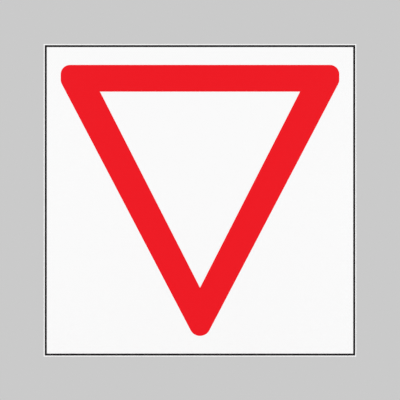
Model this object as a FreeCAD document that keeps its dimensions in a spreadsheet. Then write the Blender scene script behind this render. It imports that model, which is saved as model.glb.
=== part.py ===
import FreeCAD, Part
import enum
import math
import os
import Sketcher

# Give way sign: a square aluminium panel faced with white sheeting, on which lie
# a red triangle band and a thin black border line. Two channel rails are bonded
# across its back with foam tape. The heads of a post clamp's bolts slide in the
# rails' slots, so nothing goes through the face.
#
# Frame: +X is right and +Z is up as the reader sees the face, and +Y points away
# from the reader. The origin is the middle of the upper rail's slot, in the plane
# of its lips' outer faces, where a clamp or post bears.

SIZES = {
    # Panel, a square of sheet
    "panel_side": 600.0,
    "panel_thick": 3.0,
    "panel_corner": 1.0,
    "panel_deburr": 0.2,
    # White sheeting, set back from the deburred edge all round
    "sheeting_margin": 0.1,
    "sheeting_thick": 0.4,
    "film_thick": 0.1,
    # Black line, with a strip of white left outside it
    "border_margin": 2.1,
    "border_width": 3.9,
    # Red triangle, point down: its distances from the panel's edges, and the height
    # of the upright flats that clip its upper corners
    "top_margin": 40.4,
    "side_margin": 33.0,
    "apex_margin": 16.6,
    "clip_height": 32.6,
    "corner_round": 18.0,
    "tip_round": 20.3,
    # Band round the window: upright at the top, level at the window's top corners,
    # and upright from the apex where the outer sides meet to the window's apex
    "top_band": 51.2,
    "side_band": 65.5,
    "apex_band": 115.8,
    # Rails, upright spacing and distance of their ends from the panel's edges
    "rail_spacing": 350.0,
    "rail_end_margin": 40.0,
    # Rail section, made round the head and shank of an M8 bolt
    "bolt_head_across": 13.0,
    "head_clearance": 0.6,
    "head_room": 6.0,
    "bolt_shank": 8.0,
    "shank_clearance": 1.0,
    "floor_thick": 2.0,
    "wall_thick": 2.2,
    "lip_thick": 2.4,
    "flange_reach": 5.0,
    "outer_round": 0.6,
    "root_round": 1.2,
    "slot_round": 0.5,
    "groove_width": 1.2,
    "groove_depth": 0.5,
    # Foam tape, short of the rail's edges and ends
    "tape_thick": 1.1,
    "tape_inset": 1.5,
    "tape_end_gap": 4.0,
}

# Faces of the stack along Y, from the lips at the back to the films at the front
RAIL_DEPTH = "(sizes.floor_thick + sizes.head_room + sizes.lip_thick)"
RAIL_BASE = f"(-{RAIL_DEPTH})"
PANEL_BACK = f"({RAIL_BASE} - sizes.tape_thick)"
PANEL_FRONT = f"({PANEL_BACK} - sizes.panel_thick)"
SHEETING_FRONT = f"({PANEL_FRONT} - sizes.sheeting_thick)"

# Heights of the rails, and of the panel's middle between them
UPPER_LEVEL = "0"
LOWER_LEVEL = "-sizes.rail_spacing"
PANEL_LEVEL = "-sizes.rail_spacing / 2"

# Lengths that more than one piece follows
HALF_PANEL = "sizes.panel_side / 2"
HALF_SHEETING = f"({HALF_PANEL} - sizes.panel_deburr - sizes.sheeting_margin)"
HALF_BASE = (
    "((sizes.bolt_head_across + sizes.head_clearance) / 2"
    " + sizes.wall_thick + sizes.flange_reach)"
)
HALF_RAIL = f"({HALF_PANEL} - sizes.rail_end_margin)"

# How a sketch numbers its axes, whose level one starts at the origin, and an
# edge's ends
Axis = enum.IntEnum("Axis", "UPRIGHT LEVEL", start=-2)
End = enum.IntEnum("End", "START FINISH")


def make_sheet(document):
    """Put each driving size in a cell of its own, under its name."""
    sheet = document.addObject("Spreadsheet::Sheet", "sizes")
    for row, (name, value) in enumerate(SIZES.items(), start=1):
        sheet.set(f"A{row}", name)
        sheet.set(f"B{row}", str(value))
        sheet.setAlias(f"B{row}", name)
    document.recompute()


def new_body(document, name, depth, level):
    """Start a piece whose own origin lies at the given depth and level."""
    body = document.addObject("PartDesign::Body", name)
    body.Label = name
    body.setExpression("Placement.Base.y", depth)
    body.setExpression("Placement.Base.z", level)
    return body


def new_sketch(body, role, name, quarter_turn=False):
    """Lay a sketch on one of the body's origin planes."""
    plane = next(item for item in body.Origin.OriginFeatures if item.Role == role)
    sketch = body.newObject("Sketcher::SketchObject", name)
    sketch.AttachmentSupport = [(plane, "")]
    sketch.MapMode = "FlatFace"
    if quarter_turn:
        turn = FreeCAD.Rotation(FreeCAD.Vector(0, 0, 1), -90)
        sketch.AttachmentOffset = FreeCAD.Placement(FreeCAD.Vector(), turn)
    return sketch


def draw_mirrored(sketch, half):
    """Draw a closed outline that is alike on both sides of the sketch's upright axis.

    half gives the right side's corners in order, each as three expressions: its
    distance across, its distance up and the radius of its round. None stands for
    a corner on the upright axis, for one on the level axis, and for a sharp one.
    The left side repeats the corners in reverse and is tied to them by symmetry.
    """
    def measure(expression):
        return 0.0 if expression is None else float(sketch.evalExpression(expression))

    right_count = len(half)
    corners = half + [corner for corner in reversed(half) if corner[0] is not None]
    points = []
    for place, (across, up, rounding) in enumerate(corners):
        distance = measure(across)
        side = distance if place < right_count else -distance
        points.append(FreeCAD.Vector(side, measure(up), 0))
    following = points[1:] + points[:1]
    trims = [
        trim_corner(points[place - 1], points[place], following[place], measure(corner[2]))
        for place, corner in enumerate(corners)
    ]
    edges = [
        sketch.addGeometry(Part.LineSegment(trim.start, following_trim.stop))
        for trim, following_trim in zip(trims, trims[1:] + trims[:1])
    ]
    joints = [
        join_edges(sketch, edges[place - 1], edges[place], points[place], trims[place])
        for place in range(len(corners))
    ]
    for corner, point, (anchor, arc) in zip(half, points, joints):
        bind_corner(sketch, corner, point, anchor, arc)
    for corner, (anchor, arc) in zip(corners[right_count:], joints[right_count:]):
        right_anchor, right_arc = joints[half.index(corner)]
        constrain(sketch, "Symmetric", *right_anchor, *anchor, Axis.UPRIGHT)
        if arc is not None:
            constrain(sketch, "Equal", right_arc, arc)


class Trim:
    """Where the straight edges stop and start again at a corner, and its round."""

    def __init__(self, stop, start, arc=None, turns_left=True):
        self.stop = stop
        self.start = start
        self.arc = arc
        self.turns_left = turns_left


def trim_corner(before, point, after, radius):
    """Work out a corner's round: an arc whose centre lies on the corner's bisector.

    The edges are cut back from the corner by the radius over the tangent of half
    its angle, and the centre lies at the radius over the sine of half its angle.
    """
    if radius == 0:
        return Trim(point, point)
    back = (before - point).normalize()
    ahead = (after - point).normalize()
    half_angle = back.getAngle(ahead) / 2
    cut = radius / math.tan(half_angle)
    stop = point + back * cut
    start = point + ahead * cut
    centre = point + (back + ahead).normalize() * (radius / math.sin(half_angle))
    turns_left = back.cross(ahead).z < 0
    first, last = (stop, start) if turns_left else (start, stop)
    first_angle, last_angle = (
        math.atan2(end.y - centre.y, end.x - centre.x) for end in (first, last)
    )
    if last_angle < first_angle:
        last_angle += 2 * math.pi
    circle = Part.Circle(centre, FreeCAD.Vector(0, 0, 1), radius)
    return Trim(stop, start, Part.ArcOfCircle(circle, first_angle, last_angle), turns_left)


def join_edges(sketch, before, after, point, trim):
    """Join two edges at their corner, and return the corner's anchor and its arc.

    A rounded corner keeps its sharp point as a construction point on both edges,
    and its arc touches both.
    """
    if trim.arc is None:
        constrain(sketch, "Coincident", before, End.FINISH, after, End.START)
        return (after, End.START), None
    arc = sketch.addGeometry(trim.arc)
    arc_in, arc_out = (End.START, End.FINISH) if trim.turns_left else (End.FINISH, End.START)
    constrain(sketch, "Tangent", before, End.FINISH, arc, arc_in)
    constrain(sketch, "Tangent", arc, arc_out, after, End.START)
    corner = sketch.addGeometry(Part.Point(point), True)
    constrain(sketch, "PointOnObject", corner, End.START, before)
    constrain(sketch, "PointOnObject", corner, End.START, after)
    return (corner, End.START), arc


def bind_corner(sketch, corner, point, anchor, arc):
    """Bind a corner's distances and its round to their expressions."""
    across, up, rounding = corner
    origin = (Axis.LEVEL, End.START)
    if across is None:
        constrain(sketch, "PointOnObject", *anchor, Axis.UPRIGHT)
    else:
        constrain(sketch, "DistanceX", *origin, *anchor, point.x, bound_to=across)
    if up is None:
        constrain(sketch, "PointOnObject", *anchor, Axis.LEVEL)
    else:
        constrain(sketch, "DistanceY", *origin, *anchor, point.y, bound_to=up)
    if arc is not None:
        radius = sketch.Geometry[arc].Radius
        constrain(sketch, "Radius", arc, radius, bound_to=rounding)


def constrain(sketch, *terms, bound_to=None):
    """Add one constraint, and bind its value to an expression if one is given."""
    number = sketch.addConstraint(Sketcher.Constraint(*terms))
    if bound_to is not None:
        sketch.setExpression(f"Constraints[{number}]", bound_to)


def pad_sketch(body, sketch, length, both_ways=False):
    """Give a sketch its thickness, on one side or shared between both."""
    pad = body.newObject("PartDesign::Pad", f"{body.Label}_pad")
    pad.Profile = sketch
    pad.SideType = "Symmetric" if both_ways else "One side"
    pad.setExpression("Length", length)
    sketch.Visibility = False
    return pad


def square(half_side, rounding=None):
    """Return the right side's corners of a square about the origin."""
    return [(half_side, half_side, rounding), (half_side, f"-{half_side}", rounding)]


def make_sign_plate(document):
    """Cut the panel square from sheet, round its corners and deburr both faces."""
    body = new_body(document, "sign_plate", PANEL_BACK, PANEL_LEVEL)
    sketch = new_sketch(body, "XZ_Plane", "plate_outline")
    draw_mirrored(sketch, square(f"({HALF_PANEL})", "sizes.panel_corner"))
    pad = pad_sketch(body, sketch, "sizes.panel_thick")
    document.recompute()
    rims = [
        f"Edge{number}"
        for number, edge in enumerate(pad.Shape.Edges, start=1)
        if edge.BoundBox.YLength < edge.Length / 2
    ]
    deburr = body.newObject("PartDesign::Chamfer", "plate_deburr")
    deburr.Base = (pad, rims)
    deburr.setExpression("Size", "sizes.panel_deburr")
    return body


def make_white_sheeting(document):
    """Face the plate with sheeting that stops just short of the deburred edge."""
    body = new_body(document, "white_sheeting", PANEL_FRONT, PANEL_LEVEL)
    sketch = new_sketch(body, "XZ_Plane", "sheeting_outline")
    draw_mirrored(sketch, square(HALF_SHEETING))
    pad_sketch(body, sketch, "sizes.sheeting_thick")
    return body


def make_border_line(document):
    """Lay the black line as a square frame near the sheeting's edge."""
    outside = f"({HALF_SHEETING} - sizes.border_margin)"
    inside = f"({outside} - sizes.border_width)"
    body = new_body(document, "border_line", SHEETING_FRONT, PANEL_LEVEL)
    sketch = new_sketch(body, "XZ_Plane", "border_outline")
    draw_mirrored(sketch, square(outside))
    draw_mirrored(sketch, square(inside))
    pad_sketch(body, sketch, "sizes.film_thick")
    return body


def make_red_triangle(document):
    """Cut the red band: point down, upper corners clipped upright and rounded.

    The outer sides run straight from the flats' lower ends to the apex. The
    window's sides are placed from them by the three widths of the band.
    """
    top = f"({HALF_PANEL} - sizes.top_margin)"
    apex = f"(sizes.apex_margin - {HALF_PANEL})"
    flat = f"({HALF_PANEL} - sizes.side_margin)"
    flat_end = f"({top} - sizes.clip_height)"
    side_slope = f"({flat} / ({flat_end} - {apex}))"
    window_top = f"({top} - sizes.top_band)"
    window_half = f"({side_slope} * ({window_top} - {apex}) - sizes.side_band)"
    window_apex = f"({apex} + sizes.apex_band)"

    body = new_body(document, "red_triangle", SHEETING_FRONT, PANEL_LEVEL)
    sketch = new_sketch(body, "XZ_Plane", "triangle_outline")
    draw_mirrored(sketch, [
        (flat, top, "sizes.corner_round"),
        (flat, flat_end, "sizes.corner_round"),
        (None, apex, "sizes.tip_round"),
    ])
    draw_mirrored(sketch, [
        (window_half, window_top, None),
        (None, window_apex, None),
    ])
    pad_sketch(body, sketch, "sizes.film_thick")
    return body


def make_rail(document, name, level):
    """Extrude a channel rail: a flanged base, two walls and two lips over the slot.

    The section stands on its base, which the tape meets. A bolt head fits between
    the walls and under the lips, and its shank passes between them. A fine groove
    along the middle of the floor centres a drill.
    """
    slot_half = "((sizes.bolt_head_across + sizes.head_clearance) / 2)"
    mouth_half = "((sizes.bolt_shank + sizes.shank_clearance) / 2)"
    wall_half = f"({slot_half} + sizes.wall_thick)"
    under_lip = "(sizes.floor_thick + sizes.head_room)"
    groove_foot = "(sizes.floor_thick - sizes.groove_depth)"
    flange_round = "min(sizes.outer_round; sizes.floor_thick / 3)"
    lip_round = "min(sizes.slot_round; sizes.lip_thick / 3)"

    body = new_body(document, name, RAIL_BASE, level)
    sketch = new_sketch(body, "YZ_Plane", f"{name}_section", quarter_turn=True)
    draw_mirrored(sketch, [
        (None, groove_foot, None),
        ("sizes.groove_width / 2", "sizes.floor_thick", None),
        (slot_half, "sizes.floor_thick", "sizes.slot_round"),
        (slot_half, under_lip, "sizes.slot_round"),
        (mouth_half, under_lip, lip_round),
        (mouth_half, RAIL_DEPTH, lip_round),
        (wall_half, RAIL_DEPTH, "sizes.outer_round"),
        (wall_half, "sizes.floor_thick", "sizes.root_round"),
        (HALF_BASE, "sizes.floor_thick", flange_round),
        (HALF_BASE, None, flange_round),
    ])
    pad_sketch(body, sketch, f"2 * {HALF_RAIL}", both_ways=True)
    return body


def make_rail_tape(document, name, level):
    """Lay the foam tape between a rail's base and the panel's back."""
    tape_half_length = f"({HALF_RAIL} - sizes.tape_end_gap)"
    tape_half_width = f"({HALF_BASE} - sizes.tape_inset)"
    body = new_body(document, name, RAIL_BASE, level)
    sketch = new_sketch(body, "XZ_Plane", f"{name}_outline")
    draw_mirrored(sketch, [
        (tape_half_length, tape_half_width, None),
        (tape_half_length, f"-{tape_half_width}", None),
    ])
    pad_sketch(body, sketch, "sizes.tape_thick")
    return body


def check_document(document, pieces):
    """Stop if a feature failed, a sketch can still move or a piece isn't one solid."""
    for item in document.Objects:
        if {"Invalid", "Error"} & set(item.State):
            raise RuntimeError(f"{item.Label} failed: {item.State}")
        if item.isDerivedFrom("Sketcher::SketchObject") and not item.FullyConstrained:
            raise RuntimeError(f"{item.Label} isn't fully constrained")
    for piece in pieces:
        shape = piece.Shape
        if shape.isNull() or not shape.isValid() or len(shape.Solids) != 1:
            raise RuntimeError(f"{piece.Label} isn't one valid solid")


document = FreeCAD.newDocument("give_way_sign")
make_sheet(document)
pieces = [
    make_sign_plate(document),
    make_white_sheeting(document),
    make_border_line(document),
    make_red_triangle(document),
]
for side, level in (("upper", UPPER_LEVEL), ("lower", LOWER_LEVEL)):
    pieces.append(make_rail(document, f"{side}_rail", level))
    pieces.append(make_rail_tape(document, f"{side}_rail_tape", level))
document.recompute()
check_document(document, pieces)

os.makedirs("parts", exist_ok=True)
for piece in pieces:
    piece.Shape.exportStep(f"parts/{piece.Label}.step")
    box = piece.Shape.BoundBox
    print(
        f"{piece.Label}: volume {piece.Shape.Volume:.1f} mm3,"
        f" x {box.XMin:.2f} to {box.XMax:.2f},"
        f" y {box.YMin:.2f} to {box.YMax:.2f},"
        f" z {box.ZMin:.2f} to {box.ZMax:.2f}"
    )
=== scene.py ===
import math

import bpy
import numpy as np
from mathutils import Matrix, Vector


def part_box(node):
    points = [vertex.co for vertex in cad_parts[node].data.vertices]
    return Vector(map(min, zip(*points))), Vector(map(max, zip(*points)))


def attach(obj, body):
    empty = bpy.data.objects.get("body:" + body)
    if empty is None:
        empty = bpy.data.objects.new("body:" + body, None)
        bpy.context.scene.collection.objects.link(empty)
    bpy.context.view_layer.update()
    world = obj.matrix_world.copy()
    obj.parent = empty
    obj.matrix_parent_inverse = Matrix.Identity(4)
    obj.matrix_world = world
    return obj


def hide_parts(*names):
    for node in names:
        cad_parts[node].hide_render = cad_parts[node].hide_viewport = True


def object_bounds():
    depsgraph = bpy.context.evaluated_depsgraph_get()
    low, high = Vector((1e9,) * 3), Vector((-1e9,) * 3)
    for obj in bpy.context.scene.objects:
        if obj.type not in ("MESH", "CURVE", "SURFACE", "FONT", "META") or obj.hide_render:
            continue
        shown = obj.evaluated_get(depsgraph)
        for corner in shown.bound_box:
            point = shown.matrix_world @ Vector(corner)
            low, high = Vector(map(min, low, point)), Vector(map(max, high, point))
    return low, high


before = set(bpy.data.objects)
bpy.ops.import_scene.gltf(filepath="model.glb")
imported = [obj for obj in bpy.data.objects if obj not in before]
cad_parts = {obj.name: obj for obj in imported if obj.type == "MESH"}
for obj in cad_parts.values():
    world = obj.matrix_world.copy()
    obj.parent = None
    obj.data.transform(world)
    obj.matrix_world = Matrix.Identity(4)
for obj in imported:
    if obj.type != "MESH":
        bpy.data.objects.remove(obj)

cad_low, cad_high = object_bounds()


# Panel
# A square of 3 mm aluminium sheet in mill finish, guillotined to size and deburred.
# Its bare back shows fine upright rolling grain over soft clouding. The sheared
# edges have short lines across them, and painted shade makes them darker than the face.

def fill(tree, socket, given):
    """Link a socket to another node's output, or set it to a plain value."""
    if isinstance(given, bpy.types.NodeSocket):
        tree.links.new(given, socket)
    elif socket.type == "RGBA":
        socket.default_value = (*given, 1.0)
    else:
        socket.default_value = given


def add_node(tree, kind, inputs=None, **settings):
    """Add a node, set its properties and fill the inputs that are given."""
    node = tree.nodes.new(kind)
    for name, setting in settings.items():
        setattr(node, name, setting)
    for name, given in (inputs or {}).items():
        fill(tree, node.inputs[name], given)
    return node


def calculate(tree, operation, *terms):
    """Work out one value from others."""
    node = add_node(tree, "ShaderNodeMath", dict(enumerate(terms)), operation=operation)
    return node.outputs["Value"]


def calculate_vector(tree, operation, *terms):
    """Work out a vector from others, or the value that some operations give."""
    node = add_node(tree, "ShaderNodeVectorMath", dict(enumerate(terms)), operation=operation)
    gives_value = operation in ("LENGTH", "DOT_PRODUCT")
    return node.outputs["Value" if gives_value else "Vector"]


def rise_between(tree, source, low, high):
    """0 up to the low value, 1 from the high one on, and an even rise between."""
    node = add_node(tree, "ShaderNodeMapRange", {
        "Value": source, "From Min": low, "From Max": high,
    })
    return node.outputs["Result"]


def mix(tree, kind, factor, first, second):
    """Go from the first input to the second by a factor that changes over the surface.

    The kind is Float, Vector or Color, as in the names of the node's sockets.
    """
    data_type = {"Float": "FLOAT", "Vector": "VECTOR", "Color": "RGBA"}[kind]
    node = add_node(tree, "ShaderNodeMix", {"Factor": factor}, data_type=data_type)
    sockets = {socket.identifier: socket for socket in (*node.inputs, *node.outputs)}
    fill(tree, sockets[f"A_{kind}"], first)
    fill(tree, sockets[f"B_{kind}"], second)
    return sockets[f"Result_{kind}"]


def add_noise(tree, place, scale, detail):
    """Soft noise about a half, with so many cells per unit of the place."""
    node = add_node(tree, "ShaderNodeTexNoise", {
        "Vector": place, "Scale": scale, "Detail": detail,
    })
    return node.outputs["Fac"]


def new_group(name, inputs, output, output_kind):
    """Start a shader group with one output; the inputs are given as name: kind."""
    group = bpy.data.node_groups.new(name, "ShaderNodeTree")
    for input_name, kind in inputs.items():
        group.interface.new_socket(input_name, in_out="INPUT", socket_type=kind)
    group.interface.new_socket(output, in_out="OUTPUT", socket_type=output_kind)
    given = add_node(group, "NodeGroupInput").outputs
    result = add_node(group, "NodeGroupOutput").inputs[output]
    return group, given, result


def use_group(tree, group, place, inputs):
    """Set a shared effect in a material, with values of its own, and return its output."""
    node = add_node(tree, "ShaderNodeGroup", {"Place": place, **inputs}, node_tree=group)
    return node.outputs[0]


def new_finish(name, constants):
    """Start a material; the constants are the same all over the surface."""
    material = bpy.data.materials.new(name)
    material.use_nodes = True
    tree = material.node_tree
    sockets = tree.nodes["Principled BSDF"].inputs
    for socket, value in constants.items():
        fill(tree, sockets[socket], value)
    place = add_node(tree, "ShaderNodeTexCoord").outputs["Object"]
    return material, tree, sockets, place


def raise_surface(tree, height, depth, below=None):
    """Turn a height from 0 to 1 into relief of so many metres, on any relief below it."""
    bump = add_node(tree, "ShaderNodeBump", {"Height": height, "Distance": depth})
    if below is not None:
        fill(tree, bump.inputs["Normal"], below)
    return bump.outputs["Normal"]


def find_cut(tree, place, middle, limits, rise):
    """Mark the cut faces: 0 up to the limits, counted outwards from the middle.

    Past the furthest limit the mask rises to 1 over so many metres. An axis that
    has no cut face has an endless limit.
    """
    from_middle = calculate_vector(tree, "SUBTRACT", place, middle)
    outwards = calculate_vector(tree, "ABSOLUTE", from_middle)
    past = calculate_vector(tree, "SUBTRACT", outwards, limits)
    x, y, z = add_node(tree, "ShaderNodeSeparateXYZ", {"Vector": past}).outputs
    furthest = calculate(tree, "MAXIMUM", calculate(tree, "MAXIMUM", x, y), z)
    return rise_between(tree, furthest, low=0.0, high=rise)


def make_grain_group():
    """Streaks along one direction, from noise that is drawn out that way.

    Cells per metre are given along each axis, fewest along the grain. The broad
    streaks are the same noise, about six times as wide, and they are mixed with
    the fine ones by their share.
    """
    group, given, streaks = new_group(
        "Drawn grain",
        {
            "Place": "NodeSocketVector",
            "Cells per metre": "NodeSocketVector",
            "Broad share": "NodeSocketFloat",
        },
        "Streaks", "NodeSocketFloat",
    )
    drawn = calculate_vector(group, "MULTIPLY", given["Place"], given["Cells per metre"])
    fine_noise = add_noise(group, drawn, scale=1.0, detail=3.0)
    fine = rise_between(group, fine_noise, low=0.3, high=0.7)
    broad_noise = add_noise(group, drawn, scale=0.17, detail=3.0)
    broad = rise_between(group, broad_noise, low=0.3, high=0.7)
    fill(group, streaks, mix(group, "Float", given["Broad share"], fine, broad))
    return group


grain = make_grain_group()
endless = 100.0


def make_sheet_aluminium():
    """Mill finish: rolling grain over clouding, and shear lines on the cut edges,
    which carry painted shade that makes them darker than the face.

    Each pair of tones goes from the hollows between the streaks to their tops.
    """
    dull_tones = ((0.505, 0.515, 0.53), (0.54, 0.55, 0.56))
    clean_tones = ((0.535, 0.545, 0.555), (0.57, 0.58, 0.59))
    # The edge tones are darker than the face's: painted shade on the cut edges, over their
    # shear lines.
    shaded_edge_tones = ((0.42, 0.43, 0.44), (0.60, 0.605, 0.61))
    dull_roughness = 0.42
    clean_roughness = 0.36
    deburr = 0.0002

    material, tree, sockets, place = new_finish("Mill sheet aluminium", {"Metallic": 1.0})
    low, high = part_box("sign_plate")
    reach = (high.x - low.x) / 2 - deburr
    cut = find_cut(tree, place, (low + high) / 2, (reach, endless, reach), rise=deburr / 4)

    rolled = use_group(tree, grain, place, {
        "Cells per metre": (1100.0, 1100.0, 9.0), "Broad share": 0.35,
    })
    sheared = use_group(tree, grain, place, {
        "Cells per metre": (1600.0, 60.0, 1600.0), "Broad share": 0.3,
    })
    cloud_noise = add_noise(tree, place, scale=5.0, detail=3.0)
    cloud = rise_between(tree, cloud_noise, low=0.35, high=0.65)

    dull = mix(tree, "Color", rolled, *dull_tones)
    clean = mix(tree, "Color", rolled, *clean_tones)
    face = mix(tree, "Color", cloud, dull, clean)
    # Painted shade: the cut edges take the darker edge tones, with the shear lines in them.
    shaded_edge = mix(tree, "Color", sheared, *shaded_edge_tones)
    fill(tree, sockets["Base Color"], mix(tree, "Color", cut, face, shaded_edge))
    fill(tree, sockets["Roughness"], mix(tree, "Float", cloud, dull_roughness, clean_roughness))
    streaks = mix(tree, "Float", cut, rolled, sheared)
    fill(tree, sockets["Normal"], raise_surface(tree, streaks, depth=0.000003))
    return material


def dress(name, material):
    """Give a CAD node its finish."""
    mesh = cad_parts[name].data
    mesh.materials.clear()
    mesh.materials.append(material)


dress("sign_plate", make_sheet_aluminium())


# White sheeting
# Retroreflective sheeting, rolled onto the panel and trimmed at its edge. Under
# its clear top lie honeycomb cells, 3.3 mm wide, with thin sealed walls.

def make_cell_group():
    """Honeycomb in the face's plane: a mask that rises to 1 on the cells' walls.

    The hexagons' centres form two oblong grids, one cell wide and root three high,
    laid half a step apart, and a point belongs to the nearer centre. Its reach
    towards the hexagon's side is the larger of its level offset and its offset
    along the slanting normal, and is a half at the side itself.
    """
    group, given, walls = new_group(
        "Sheeting cells",
        {
            "Place": "NodeSocketVector",
            "Cells per metre": "NodeSocketFloat",
            "Wall share": "NodeSocketFloat",
        },
        "Walls", "NodeSocketFloat",
    )
    side = 0.5
    row = math.sqrt(3) / 2
    flat = calculate_vector(group, "MULTIPLY", given["Place"], (1.0, 0.0, 1.0))
    scaled = calculate_vector(group, "MULTIPLY", flat, given["Cells per metre"])
    offsets = []
    for shift in ((0.0, 0.0, 0.0), (side, 0.0, row)):
        moved = calculate_vector(group, "ADD", scaled, shift)
        offset = calculate_vector(group, "WRAP", moved, (side, 1.0, row), (-side, -1.0, -row))
        offsets.append(offset)
    first, second = (calculate_vector(group, "LENGTH", offset) for offset in offsets)
    second_nearer = calculate(group, "LESS_THAN", second, first)
    nearer = calculate_vector(group, "ABSOLUTE", mix(group, "Vector", second_nearer, *offsets))
    level = add_node(group, "ShaderNodeSeparateXYZ", {"Vector": nearer}).outputs["X"]
    slanting = calculate_vector(group, "DOT_PRODUCT", nearer, (side, 0.0, row))
    reach = calculate(group, "MAXIMUM", slanting, level)
    wall_start = calculate(group, "SUBTRACT", side, given["Wall share"])
    fill(group, walls, rise_between(group, reach, wall_start, side))
    return group


cells = make_cell_group()


def make_film(name, cell_colour, wall_colour):
    """Film over the cells: they show through, their walls stand up, and it ripples.

    The ripple is slow and shallow, as any film keeps it from its roller.
    """
    cell_roughness = 0.30
    wall_roughness = 0.40

    material, tree, sockets, place = new_finish(name, {"Specular IOR Level": 0.15})
    walls = use_group(tree, cells, place, {"Cells per metre": 300.0, "Wall share": 0.09})
    fill(tree, sockets["Base Color"], mix(tree, "Color", walls, cell_colour, wall_colour))
    fill(tree, sockets["Roughness"], mix(tree, "Float", walls, cell_roughness, wall_roughness))
    ripple = add_noise(tree, place, scale=45.0, detail=2.0)
    rippled = raise_surface(tree, ripple, depth=0.00004)
    fill(tree, sockets["Normal"], raise_surface(tree, walls, depth=0.000008, below=rippled))
    return material


dress("white_sheeting", make_film(
    "White sheeting", cell_colour=(0.92, 0.92, 0.92), wall_colour=(0.86, 0.86, 0.865),
))


# Red triangle
# Clear red overlay film, cut as one band and laid on the sheeting, so that the
# cells still show through it.

dress("red_triangle", make_film(
    "Red film", cell_colour=(0.83, 0.002, 0.009), wall_colour=(0.76, 0.002, 0.008),
))


# Border line
# Opaque black film, cut as a thin square frame and laid on the sheeting just
# inside its edge. Little but the cells' relief comes through it.

dress("border_line", make_film(
    "Black film", cell_colour=(0.008, 0.006, 0.007), wall_colour=(0.010, 0.008, 0.009),
))


# Foam tape
# Dark acrylic foam, 1.1 mm thick, pressed between each rail and the panel. Its
# cut edges bulge a little where it is squeezed, and show fine closed cells.

def make_foam():
    """Matt dark foam: small round cells in its skin, with painted shade in their hollows."""
    # The darker tone is painted shade for the cells' hollows.
    painted_pore_shade = (0.035, 0.035, 0.038)
    skin_colour = (0.075, 0.075, 0.08)

    material, tree, sockets, place = new_finish(
        "Acrylic foam", {"Roughness": 0.85, "Specular IOR Level": 0.3},
    )
    pores = add_node(tree, "ShaderNodeTexVoronoi", {"Vector": place, "Scale": 2600.0})
    skin = rise_between(tree, pores.outputs["Distance"], low=0.15, high=0.55)
    # Painted shade: the colour goes darker in the cells' hollows.
    fill(tree, sockets["Base Color"], mix(tree, "Color", skin, painted_pore_shade, skin_colour))
    fill(tree, sockets["Normal"], raise_surface(tree, skin, depth=0.00006))
    return material


def add_mesh(name, points, faces, material):
    """Put points and faces in a mesh object with its finish."""
    mesh = bpy.data.meshes.new(name)
    mesh.from_pydata(points.tolist(), [], faces)
    mesh.materials.append(material)
    piece = bpy.data.objects.new(name, mesh)
    bpy.context.scene.collection.objects.link(piece)
    return piece


def make_foam_strip(name, low, high, material):
    """A flat strip with round corners and bulging edges, as rings closed by two faces.

    A ring is four quarter circles about the strip's corners. The rings follow each
    other through the strip's thickness, and their radius falls from the middle to
    both faces by a parabola of the depth, which makes the bulge.
    """
    corner_radius = 0.0015
    bulge = 0.0003
    corners = 4
    corner_steps = 6
    rings = 9

    middle = (low + high) / 2
    reach = (high - low) / 2
    quarter = np.repeat(np.arange(corners), corner_steps)
    along_quarter = np.tile(np.linspace(0.0, 1.0, corner_steps), corners)
    angle = (quarter + along_quarter) * math.pi / 2
    side_x = np.where((quarter == 0) | (quarter == 3), 1.0, -1.0)
    side_z = np.where(quarter < 2, 1.0, -1.0)
    depth = np.linspace(-1.0, 1.0, rings)[:, None]
    radius = corner_radius - bulge * depth ** 2
    x = middle.x + side_x * (reach.x - corner_radius) + radius * np.cos(angle)
    z = middle.z + side_z * (reach.z - corner_radius) + radius * np.sin(angle)
    y = middle.y + reach.y * depth + np.zeros_like(x)
    points = np.stack([x, y, z], axis=-1).reshape(-1, 3)

    around = angle.size
    here = np.arange(around)
    ahead = (here + 1) % around
    ring = np.arange(rings - 1)[:, None] * around
    next_ring = ring + around
    sides = np.stack([ring + here, next_ring + here, next_ring + ahead, ring + ahead], axis=-1)
    last_ring = (rings - 1) * around
    faces = sides.reshape(-1, 4).tolist()
    faces += [here.tolist(), (last_ring + here)[::-1].tolist()]
    return add_mesh(name, points, faces, material)


foam = make_foam()
for rail in ("upper", "lower"):
    tape = f"{rail}_rail_tape"
    strip = make_foam_strip(f"{rail}_foam_strip", *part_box(tape), foam)
    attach(strip, "root")
    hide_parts(tape)


# Rails
# Channel rails in extruded aluminium, sawn to length and bonded by the tape. Fine
# die lines run along them, and saw marks cross their bright ends.

def make_extruded_aluminium():
    """As extruded: die lines along the rail, and saw marks on its two ends.

    Each pair of tones goes from the hollows between the lines to their tops.
    """
    side_tones = ((0.60, 0.61, 0.62), (0.70, 0.71, 0.72))
    end_tones = ((0.62, 0.63, 0.64), (0.82, 0.825, 0.83))
    hollow_roughness = 0.36
    top_roughness = 0.28
    end_depth = 0.00005

    material, tree, sockets, place = new_finish("Extruded aluminium", {"Metallic": 1.0})
    low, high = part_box("upper_rail")
    limits = ((high.x - low.x) / 2 - end_depth, endless, endless)
    cut = find_cut(tree, place, (low + high) / 2, limits, rise=end_depth / 2)

    drawn = use_group(tree, grain, place, {
        "Cells per metre": (3.0, 1500.0, 1500.0), "Broad share": 0.4,
    })
    sawn = use_group(tree, grain, place, {
        "Cells per metre": (1.0, 90.0, 2400.0), "Broad share": 0.3,
    })

    side = mix(tree, "Color", drawn, *side_tones)
    end = mix(tree, "Color", sawn, *end_tones)
    fill(tree, sockets["Base Color"], mix(tree, "Color", cut, side, end))
    fill(tree, sockets["Roughness"], mix(tree, "Float", drawn, hollow_roughness, top_roughness))
    streaks = mix(tree, "Float", cut, drawn, sawn)
    fill(tree, sockets["Normal"], raise_surface(tree, streaks, depth=0.000004))
    return material


extruded = make_extruded_aluminium()
dress("upper_rail", extruded)
dress("lower_rail", extruded)


# Floor
# A plain pale floor below the sign. It keeps the sign's shadow, and fades into
# the background's grey towards its rim.

background = (0.591, 0.591, 0.591)
sign_middle = (cad_low + cad_high) / 2


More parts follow.
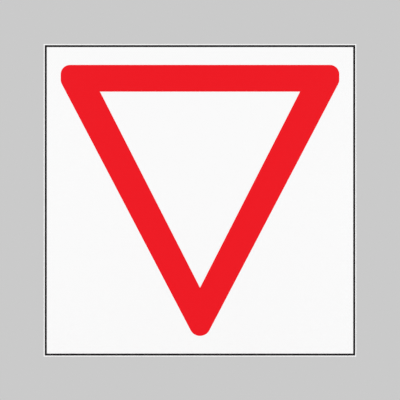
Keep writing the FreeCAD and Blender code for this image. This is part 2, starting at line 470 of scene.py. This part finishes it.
def find_seen(tree):
    """1 for what the camera sees, straight, mirrored or through glass, and else 0."""
    path = add_node(tree, "ShaderNodeLightPath").outputs
    mirrored = calculate(tree, "MAXIMUM", path["Is Camera Ray"], path["Is Glossy Ray"])
    return calculate(tree, "MAXIMUM", mirrored, path["Is Transmission Ray"])


def mix_shaders(tree, factor, first, second):
    """Go from the first shader to the second by a factor."""
    node = add_node(tree, "ShaderNodeMixShader", {"Fac": factor, 1: first, 2: second})
    return node.outputs["Shader"]


def make_pale_floor(fade_start, fade_end):
    """Matt grey to the eye, and a little paler in the light that it throws back."""
    throwing_grey = (0.76, 0.76, 0.76)
    seen_grey = (0.55, 0.55, 0.55)

    material, tree, sockets, place = new_finish(
        "Pale floor", {"Roughness": 0.9, "Specular IOR Level": 0.0},
    )
    seen = find_seen(tree)
    fill(tree, sockets["Base Color"], mix(tree, "Color", seen, throwing_grey, seen_grey))
    level = calculate_vector(tree, "MULTIPLY", place, (1.0, 1.0, 0.0))
    outwards = calculate_vector(tree, "LENGTH", level)
    fade = rise_between(tree, outwards, fade_start, fade_end)
    share = calculate(tree, "MULTIPLY", fade, seen)
    floor = tree.nodes["Principled BSDF"].outputs["BSDF"]
    backdrop = add_node(tree, "ShaderNodeEmission", {"Color": background}).outputs["Emission"]
    output = tree.nodes["Material Output"].inputs["Surface"]
    fill(tree, output, mix_shaders(tree, share, floor, backdrop))
    return material


def make_floor():
    """One round face: points on a circle about the sign's middle, below it."""
    drop = 0.25
    radius = 0.75
    rim_points = 96

    angle = np.linspace(0.0, 2 * math.pi, rim_points, endpoint=False)
    x = sign_middle.x + radius * np.cos(angle)
    y = sign_middle.y + radius * np.sin(angle)
    points = np.stack([x, y, np.full_like(x, cad_low.z - drop)], axis=-1)
    finish = make_pale_floor(fade_start=0.40, fade_end=radius)
    return add_mesh("floor", points, [list(range(rim_points))], finish)


make_floor()


# Light and background
# Even studio light: a plain surround that lights both sides, and broad soft
# lamps that give the metal its sheen. What is seen past the sign is plain grey.

def light_world(strength):
    """Plain grey where it is seen or mirrored, and even white light elsewhere."""
    world = bpy.data.worlds.new("Studio")
    bpy.context.scene.world = world
    world.use_nodes = True
    tree = world.node_tree
    fill(tree, tree.nodes["Background"].inputs["Color"], background)
    grey = tree.nodes["Background"].outputs["Background"]
    white = add_node(tree, "ShaderNodeBackground", {
        "Color": (1.0, 1.0, 1.0), "Strength": strength,
    }).outputs["Background"]
    output = tree.nodes["World Output"].inputs["Surface"]
    fill(tree, output, mix_shaders(tree, find_seen(tree), white, grey))


def add_lamp(name, place, side, power):
    """Hang a square soft lamp that faces the sign's middle."""
    lamp = bpy.data.lights.new(name, "AREA")
    lamp.shape = "SQUARE"
    lamp.size = side
    lamp.energy = power
    holder = bpy.data.objects.new(name, lamp)
    holder.location = place
    aim = sign_middle - holder.location
    holder.rotation_euler = aim.to_track_quat("-Z", "Y").to_euler()
    bpy.context.scene.collection.objects.link(holder)


light_world(strength=0.80)
add_lamp("front_left_lamp", place=(-2.0, -2.6, -0.3), side=1.6, power=19.0)
add_lamp("front_right_lamp", place=(2.0, -2.6, -0.3), side=1.6, power=19.0)
add_lamp("back_left_lamp", place=(-1.6, 2.2, 1.2), side=2.0, power=18.0)
add_lamp("back_right_lamp", place=(2.0, 1.8, 0.4), side=1.4, power=16.0)

scene = bpy.context.scene
scene.view_settings.view_transform = "Standard"


# Camera
# Straight on to the face with a long lens, and as far back as makes the panel
# span its share of the photograph.

photo_width = 400.0
photo_middle = photo_width / 2
panel_span = 313.0
panel_middle_x = 200.0
panel_middle_y = 200.34
metres_per_pixel = (cad_high.x - cad_low.x) / panel_span

camera_data = bpy.data.cameras.new("camera")
camera_data.lens = 85.0
camera_data.sensor_width = 36.0
distance = photo_width * metres_per_pixel * camera_data.lens / camera_data.sensor_width
camera = bpy.data.objects.new("camera", camera_data)
camera.location = (
    sign_middle.x + (photo_middle - panel_middle_x) * metres_per_pixel,
    cad_low.y - distance,
    sign_middle.z + (panel_middle_y - photo_middle) * metres_per_pixel,
)
camera.rotation_euler = (math.pi / 2, 0.0, 0.0)
scene.collection.objects.link(camera)
scene.camera = camera

bpy.context.view_layer.update()
